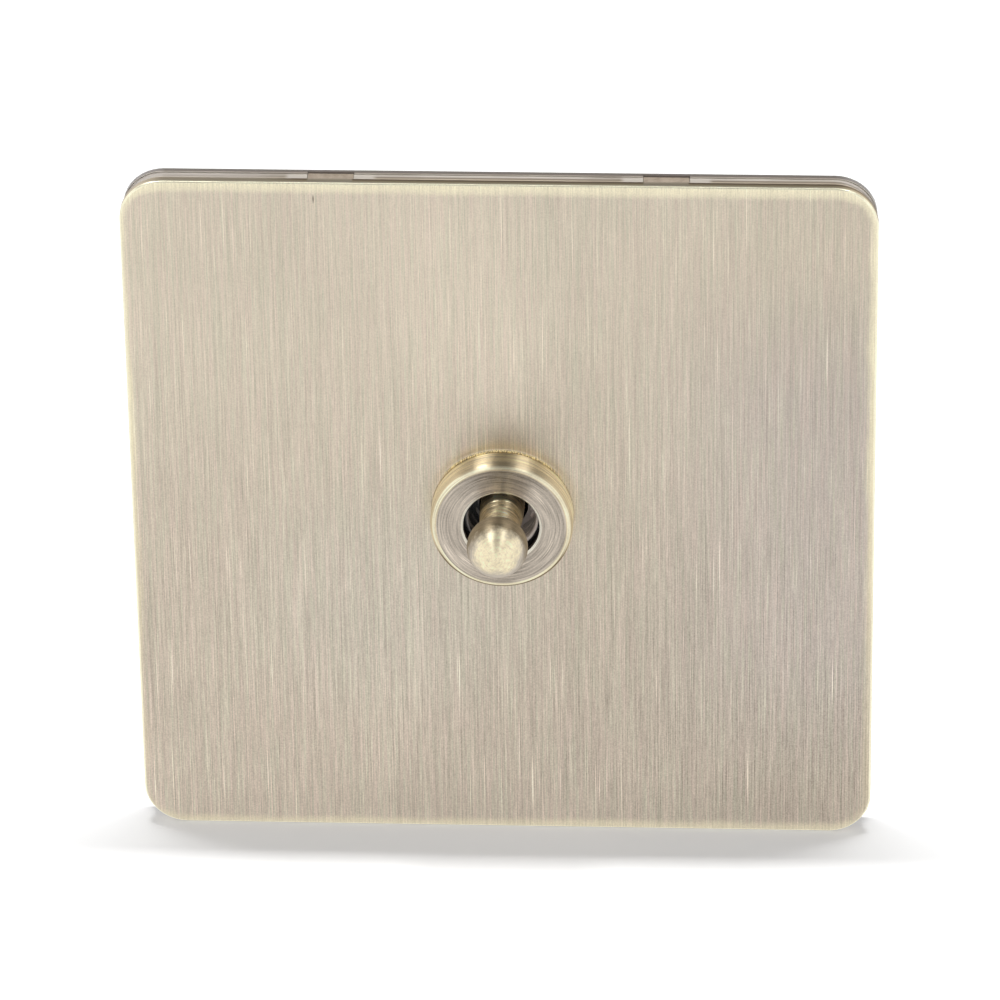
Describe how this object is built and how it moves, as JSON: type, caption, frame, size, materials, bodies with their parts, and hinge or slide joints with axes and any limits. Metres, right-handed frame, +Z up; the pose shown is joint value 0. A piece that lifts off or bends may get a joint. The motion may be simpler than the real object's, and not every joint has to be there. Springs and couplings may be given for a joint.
{
  "type": "toggle light switch",
  "caption": "Single toggle wall switch: square brushed brass clip-on plate, clear frame, turned collar and a ball-ended lever that tips a rocking contact.",
  "frame": {"origin": "centre of the plate on the wall plane, midway between the two box-screw slots", "axes": "+Z up, +X to the right seen from the front, the front faces -Y, +Y goes into the wall box"},
  "size_m": [0.086, 0.0388, 0.086],
  "materials": {
    "aged_brass": "vertically brushed antique brass, pale where the edges are worn",
    "turned_brass": "fine turned brass",
    "clear_plastic": "clear polycarbonate",
    "spring_steel": "bare spring steel",
    "zinc_steel": "zinc-plated steel",
    "black_moulding": "black moulded plastic",
    "carrier_plastic": "black acetal",
    "plunger_plastic": "natural nylon",
    "copper": "plain copper strip",
    "silver": "silver contact tips",
    "terminal_brass": "plain milled brass"
  },
  "bodies": {
    "housing": {"front_plate": "aged_brass", "clip_frame": "clear_plastic", "plate_clips": "spring_steel", "yoke_plate": "zinc_steel", "lock_washer": "zinc_steel", "collar_ring": "turned_brass", "switch_cover": "black_moulding", "switch_base": "black_moulding", "housing_rivets": "zinc_steel", "pivot_pin": "spring_steel", "common_terminal": "terminal_brass", "lower_terminal": "terminal_brass", "upper_terminal": "terminal_brass", "fixed_contact_tips": "silver", "terminal_screws": "zinc_steel", "earth_terminal": "terminal_brass", "earth_screw": "zinc_steel"},
    "toggle": {"toggle_lever": "turned_brass", "lever_carrier": "carrier_plastic", "plunger_spring": "spring_steel"},
    "plunger": {"plunger": "plunger_plastic"},
    "rocker": {"rocker_contact": "copper", "moving_contact_tips": "silver"}
  },
  "joints": [
    {"name": "lever_tip", "type": "hinge", "parent": "housing", "child": "toggle", "pos_m": [0, 0.0045, 0], "axis": [1, 0, 0], "range_deg": [0, 13]},
    {"name": "plunger_slide", "type": "slide", "parent": "toggle", "child": "plunger", "axis": [0, -0.9936, 0.1132], "range_m": [0, 0.0005], "stiffness_N_per_m": 400, "deforming": ["plunger_spring"]},
    {"name": "rocker_tip", "type": "hinge", "parent": "housing", "child": "rocker", "pos_m": [0, 0.0146, 0], "axis": [1, 0, 0], "range_deg": [-19, 0]}
  ],
  "couplings": [
    {"joint": "rocker_tip", "follows": "lever_tip", "ratio": -1.4615}
  ]
}
